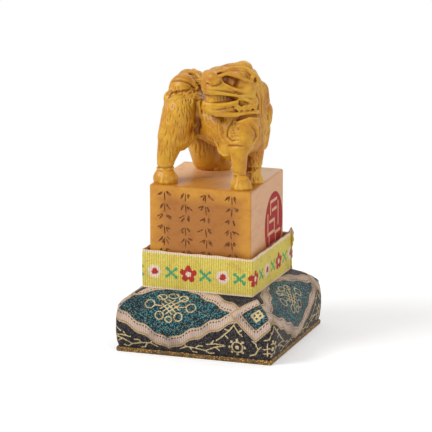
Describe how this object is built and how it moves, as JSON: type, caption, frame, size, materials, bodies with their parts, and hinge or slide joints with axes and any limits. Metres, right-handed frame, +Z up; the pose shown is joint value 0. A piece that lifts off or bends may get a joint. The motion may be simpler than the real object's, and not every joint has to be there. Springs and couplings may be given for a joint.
{
  "type": "seal stamp",
  "caption": "Square stone seal with a carved guardian lion knop, standing in a ribbon-bound tray on a padded brocade plinth.",
  "frame": {"origin": "on the table under the middle of the plinth", "axes": "+Z up, -Y out of the front of the plinth, +X to the right seen from the front"},
  "size_m": [0.0714, 0.0714, 0.1233],
  "materials": {
    "amber_stone": "polished amber soapstone, waxed",
    "red_paste": "dry red seal paste rubbed into shallow carving",
    "tray_card": "brown card",
    "tray_paper": "orange brown lining paper",
    "ribbon": "woven yellow ribbon with small flowers",
    "brocade": "woven brocade, dark blue green ground with cream and gold figures",
    "wadding": "cotton wadding",
    "core_card": "grey brown board",
    "metallic_edging": "woven metallic thread edging",
    "base_paper": "plain backing paper"
  },
  "bodies": {
    "stand": {"tray_floor": "tray_card", "tray_floor_lining": "tray_paper", "tray_wall_lining": "tray_paper", "ribbon_band": "ribbon", "core_top_board": "core_card", "base_board": "core_card", "gold_edging": "metallic_edging", "underside_paper": "base_paper", "tray_wall_front": "tray_card", "brocade_front": "brocade", "wadding_front": "wadding", "core_wall_front": "core_card", "tray_wall_right": "tray_card", "brocade_right": "brocade", "wadding_right": "wadding", "core_wall_right": "core_card", "tray_wall_back": "tray_card", "brocade_back": "brocade", "wadding_back": "wadding", "core_wall_back": "core_card", "tray_wall_left": "tray_card", "brocade_left": "brocade", "wadding_left": "wadding", "core_wall_left": "core_card"},
    "seal": {"seal_stone": "amber_stone", "oval_cinnabar_fill": "red_paste"}
  },
  "joints": [
    {"name": "seal_lift", "type": "slide", "parent": "stand", "child": "seal", "axis": [0, 0, 1], "range_m": [0, 0.03]}
  ]
}
